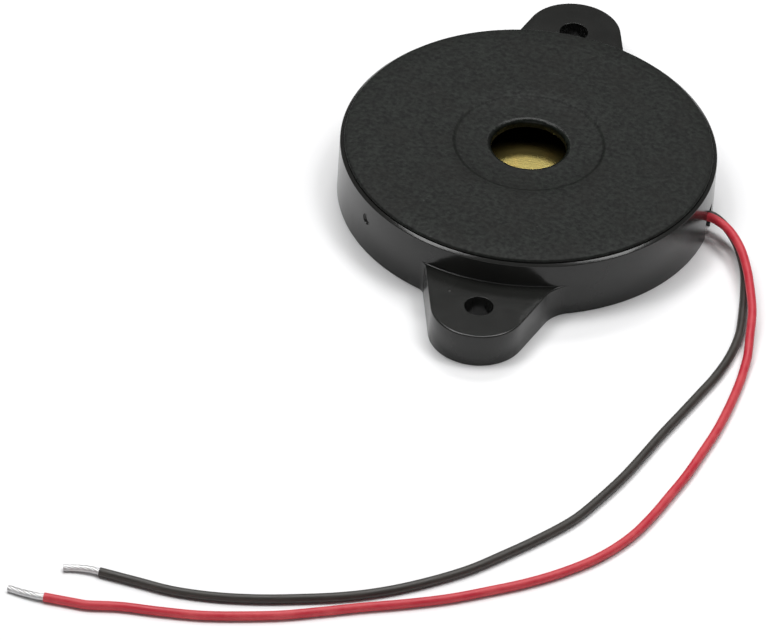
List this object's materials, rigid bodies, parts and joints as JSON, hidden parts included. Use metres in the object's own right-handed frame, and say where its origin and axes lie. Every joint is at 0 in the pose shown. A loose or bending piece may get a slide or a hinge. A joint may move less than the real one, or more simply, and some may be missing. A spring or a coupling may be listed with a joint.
{
  "type": "piezo buzzer",
  "caption": "Flat round piezo sounder with a sound hole in its matt face, a screw ear on each side and a pair of free wire leads.",
  "frame": {"origin": "centre of the body's rear face, on the surface it lies on", "axes": "+Z out of the sound hole, ears along Y, lead slot towards +X"},
  "size_m": [0.069, 0.1125, 0.0075],
  "materials": {
    "housing_plastic": "glossy black moulding",
    "cover_plastic": "matt black with a fine grain",
    "brass": "bright rolled sheet",
    "ceramic": "matt fired ceramic",
    "silver": "matt printed silver",
    "adhesive": "white silicone",
    "solder": "bright solder",
    "red_insulation": "satin red insulation",
    "black_insulation": "satin black insulation",
    "tinned_wire": "tinned strands"
  },
  "bodies": {
    "root": {"housing": "housing_plastic", "front_cover": "cover_plastic", "brass_disc": "brass", "ceramic_disc": "ceramic", "silver_electrode": "silver", "adhesive_ring": "adhesive", "red_solder": "solder", "black_solder": "solder", "red_lead": "red_insulation", "black_lead": "black_insulation", "red_inner_end": "tinned_wire", "black_inner_end": "tinned_wire", "red_tip": "tinned_wire", "black_tip": "tinned_wire"}
  },
  "joints": []
}
